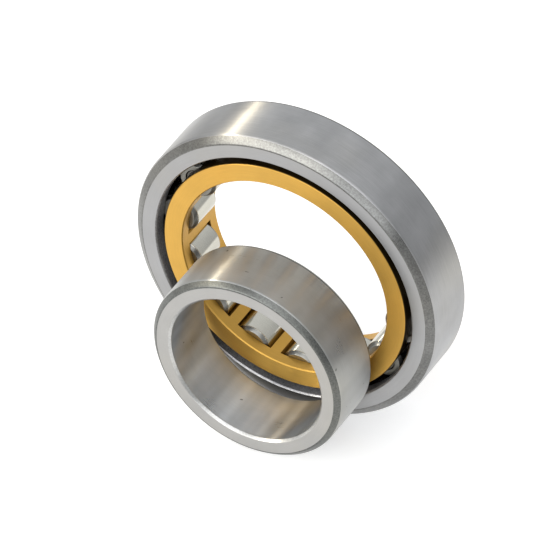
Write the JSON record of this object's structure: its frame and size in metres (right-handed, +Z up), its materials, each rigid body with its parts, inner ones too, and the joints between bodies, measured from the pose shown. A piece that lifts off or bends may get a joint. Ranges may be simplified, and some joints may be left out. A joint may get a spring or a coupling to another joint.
{
  "type": "cylindrical roller bearing with separable inner ring",
  "caption": "Cylindrical roller bearing: flanged outer ring with rollers in a machined brass cage, and a plain inner ring drawn out and standing in front.",
  "frame": {"origin": "centre of the outer ring, on its axis, halfway through its width", "axes": "+Y along the bearing axis from the front face to the rear face, +Z up from the surface both rings stand on, front face towards -Y"},
  "size_m": [0.1016, 0.0433, 0.1016],
  "materials": {
    "ring_steel": "satin ground",
    "roller_steel": "polished",
    "cage_brass": "machined"
  },
  "bodies": {
    "outer_ring": {"outer_ring": "ring_steel"},
    "inner_ring": {"inner_ring": "ring_steel"},
    "cage": {"cage_comb": "cage_brass", "cage_cover": "cage_brass"},
    "roller_01": {"roller_01": "roller_steel"},
    "roller_02": {"roller_02": "roller_steel"},
    "roller_03": {"roller_03": "roller_steel"},
    "roller_04": {"roller_04": "roller_steel"},
    "roller_05": {"roller_05": "roller_steel"},
    "roller_06": {"roller_06": "roller_steel"},
    "roller_07": {"roller_07": "roller_steel"},
    "roller_08": {"roller_08": "roller_steel"},
    "roller_09": {"roller_09": "roller_steel"},
    "roller_10": {"roller_10": "roller_steel"},
    "roller_11": {"roller_11": "roller_steel"},
    "roller_12": {"roller_12": "roller_steel"},
    "roller_13": {"roller_13": "roller_steel"},
    "roller_14": {"roller_14": "roller_steel"}
  },
  "joints": [
    {"name": "inner_ring_lift", "type": "slide", "parent": "outer_ring", "child": "inner_ring", "axis": [0, 0, 1], "range_m": [0, 0.0188]},
    {"name": "cage_spin", "type": "hinge", "parent": "outer_ring", "child": "cage", "pos_m": [0, 0, 0], "axis": [0, 1, 0], "continuous": true},
    {"name": "roller_01_spin", "type": "hinge", "parent": "cage", "child": "roller_01", "pos_m": [-0.01375, 0, -0.03582], "axis": [0, 1, 0], "continuous": true},
    {"name": "roller_02_spin", "type": "hinge", "parent": "cage", "child": "roller_02", "pos_m": [0.00315, 0, -0.03824], "axis": [0, 1, 0], "continuous": true},
    {"name": "roller_03_spin", "type": "hinge", "parent": "cage", "child": "roller_03", "pos_m": [0.01943, 0, -0.03308], "axis": [0, 1, 0], "continuous": true},
    {"name": "roller_04_spin", "type": "hinge", "parent": "cage", "child": "roller_04", "pos_m": [0.03186, 0, -0.02138], "axis": [0, 1, 0], "continuous": true},
    {"name": "roller_05_spin", "type": "hinge", "parent": "cage", "child": "roller_05", "pos_m": [0.03798, 0, -0.00543], "axis": [0, 1, 0], "continuous": true},
    {"name": "roller_06_spin", "type": "hinge", "parent": "cage", "child": "roller_06", "pos_m": [0.03658, 0, 0.01158], "axis": [0, 1, 0], "continuous": true},
    {"name": "roller_07_spin", "type": "hinge", "parent": "cage", "child": "roller_07", "pos_m": [0.02793, 0, 0.02631], "axis": [0, 1, 0], "continuous": true},
    {"name": "roller_08_spin", "type": "hinge", "parent": "cage", "child": "roller_08", "pos_m": [0.01375, 0, 0.03582], "axis": [0, 1, 0], "continuous": true},
    {"name": "roller_09_spin", "type": "hinge", "parent": "cage", "child": "roller_09", "pos_m": [-0.00315, 0, 0.03824], "axis": [0, 1, 0], "continuous": true},
    {"name": "roller_10_spin", "type": "hinge", "parent": "cage", "child": "roller_10", "pos_m": [-0.01943, 0, 0.03308], "axis": [0, 1, 0], "continuous": true},
    {"name": "roller_11_spin", "type": "hinge", "parent": "cage", "child": "roller_11", "pos_m": [-0.03186, 0, 0.02138], "axis": [0, 1, 0], "continuous": true},
    {"name": "roller_12_spin", "type": "hinge", "parent": "cage", "child": "roller_12", "pos_m": [-0.03798, 0, 0.00543], "axis": [0, 1, 0], "continuous": true},
    {"name": "roller_13_spin", "type": "hinge", "parent": "cage", "child": "roller_13", "pos_m": [-0.03658, 0, -0.01158], "axis": [0, 1, 0], "continuous": true},
    {"name": "roller_14_spin", "type": "hinge", "parent": "cage", "child": "roller_14", "pos_m": [-0.02793, 0, -0.02631], "axis": [0, 1, 0], "continuous": true}
  ],
  "couplings": [
    {"joint": "roller_01_spin", "follows": "cage_spin", "ratio": -7.0472},
    {"joint": "roller_02_spin", "follows": "cage_spin", "ratio": -7.0472},
    {"joint": "roller_03_spin", "follows": "cage_spin", "ratio": -7.0472},
    {"joint": "roller_04_spin", "follows": "cage_spin", "ratio": -7.0472},
    {"joint": "roller_05_spin", "follows": "cage_spin", "ratio": -7.0472},
    {"joint": "roller_06_spin", "follows": "cage_spin", "ratio": -7.0472},
    {"joint": "roller_07_spin", "follows": "cage_spin", "ratio": -7.0472},
    {"joint": "roller_08_spin", "follows": "cage_spin", "ratio": -7.0472},
    {"joint": "roller_09_spin", "follows": "cage_spin", "ratio": -7.0472},
    {"joint": "roller_10_spin", "follows": "cage_spin", "ratio": -7.0472},
    {"joint": "roller_11_spin", "follows": "cage_spin", "ratio": -7.0472},
    {"joint": "roller_12_spin", "follows": "cage_spin", "ratio": -7.0472},
    {"joint": "roller_13_spin", "follows": "cage_spin", "ratio": -7.0472},
    {"joint": "roller_14_spin", "follows": "cage_spin", "ratio": -7.0472}
  ]
}
